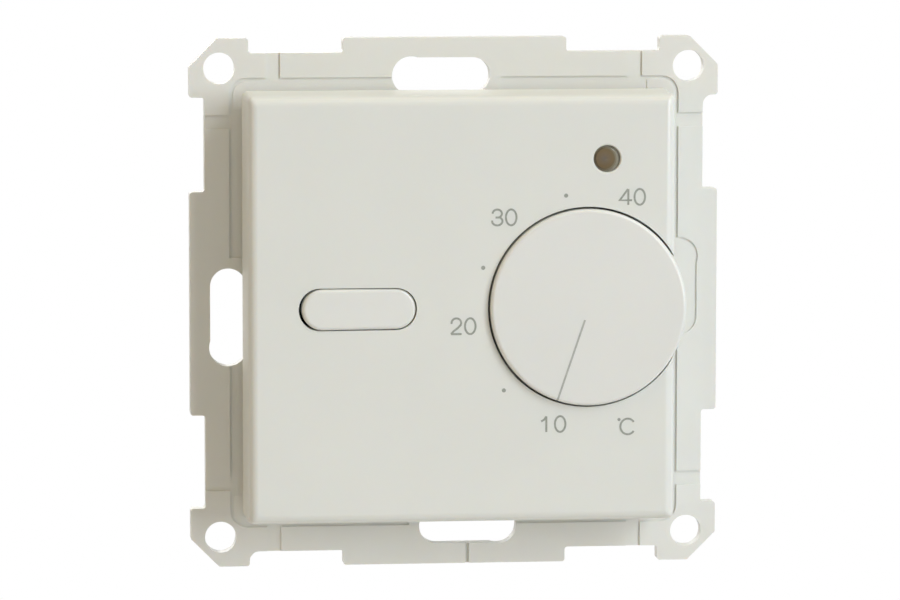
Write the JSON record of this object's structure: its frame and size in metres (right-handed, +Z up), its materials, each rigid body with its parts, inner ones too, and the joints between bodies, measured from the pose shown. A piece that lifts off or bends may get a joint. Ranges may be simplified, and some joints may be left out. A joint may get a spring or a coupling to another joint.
{
  "type": "wall thermostat insert",
  "caption": "Square flush-mounted room thermostat insert: white cover with temperature dial, on/off rocker and signal lamp on a slotted support frame, electronics housing behind.",
  "frame": {"origin": "centre of the square of corner holes, on the rear face of the support frame, which lies against the wall", "axes": "+Z up, +X to the right as seen from the room, the front faces -Y and +Y goes into the wall"},
  "size_m": [0.071, 0.0397, 0.071],
  "materials": {
    "frame_white": "semi-gloss moulded thermoplastic, off-white",
    "cover_white": "high-gloss moulded plastic, warm white",
    "dial_white": "gloss moulded plastic, warm white",
    "button_white": "gloss moulded plastic, warm white",
    "housing_white": "fine-textured moulded plastic, off-white",
    "lid_white": "fine-textured moulded plastic, off-white",
    "lamp_clear": "clear smoked epoxy",
    "spacer_black": "moulded nylon",
    "board_green": "glass-epoxy board under solder mask",
    "pot_black": "moulded phenolic",
    "shaft_grey": "moulded acetal",
    "switch_black": "glass-filled nylon",
    "contact_brass": "rolled strip, lightly tarnished",
    "steel": "zinc-plated steel",
    "relay_black": "moulded relay case",
    "film_yellow": "potted plastic box",
    "can_sleeve": "shrink-sleeved aluminium can",
    "resistor_blue": "lacquered ceramic rod",
    "fuse_brown": "moulded fuse body",
    "varistor_blue": "lacquer-dipped ceramic disc",
    "chip_black": "moulded epoxy package",
    "terminal_grey": "moulded polyamide",
    "print_grey": "pad-printed ink on the cover and dial"
  },
  "bodies": {
    "thermostat": {"support_frame": "frame_white", "rear_housing": "housing_white", "inner_lid": "lid_white", "front_cover": "cover_white", "signal_lamp": "lamp_clear", "lamp_spacer": "spacer_black", "lamp_leads": "steel", "circuit_board": "board_green", "potentiometer_body": "pot_black", "switch_housing": "switch_black", "switch_terminals": "contact_brass", "relay": "relay_black", "film_capacitor": "film_yellow", "smoothing_capacitor": "can_sleeve", "coupling_capacitor": "can_sleeve", "resistors": "resistor_blue", "board_fuse": "fuse_brown", "varistor": "varistor_blue", "bridge_rectifier": "chip_black", "control_chip": "chip_black", "terminal_block": "terminal_grey", "terminal_clamps": "contact_brass", "terminal_screws": "steel", "lid_screws": "steel", "cover_screw": "steel"},
    "dial": {"dial_knob": "dial_white", "potentiometer_shaft": "shaft_grey"},
    "rocker": {"rocker_button": "button_white", "switch_plunger": "shaft_grey", "switch_spring": "steel"},
    "seesaw": {"contact_arm": "contact_brass"}
  },
  "joints": [
    {"name": "dial_turn", "type": "hinge", "parent": "thermostat", "child": "dial", "pos_m": [0.0167, -0.011, 0.00025], "axis": [0, 1, 0], "range_deg": [-4, 185]},
    {"name": "rocker_tilt", "type": "hinge", "parent": "thermostat", "child": "rocker", "pos_m": [-0.0139, -0.0092, 0.00025], "axis": [0, 0, -1], "range_deg": [0, 6]},
    {"name": "seesaw_tilt", "type": "hinge", "parent": "thermostat", "child": "seesaw", "pos_m": [-0.0139, 0, 0.00025], "axis": [0, 0, 1], "range_deg": [0, 12]}
  ],
  "couplings": [
    {"joint": "seesaw_tilt", "follows": "rocker_tilt", "ratio": 2}
  ]
}
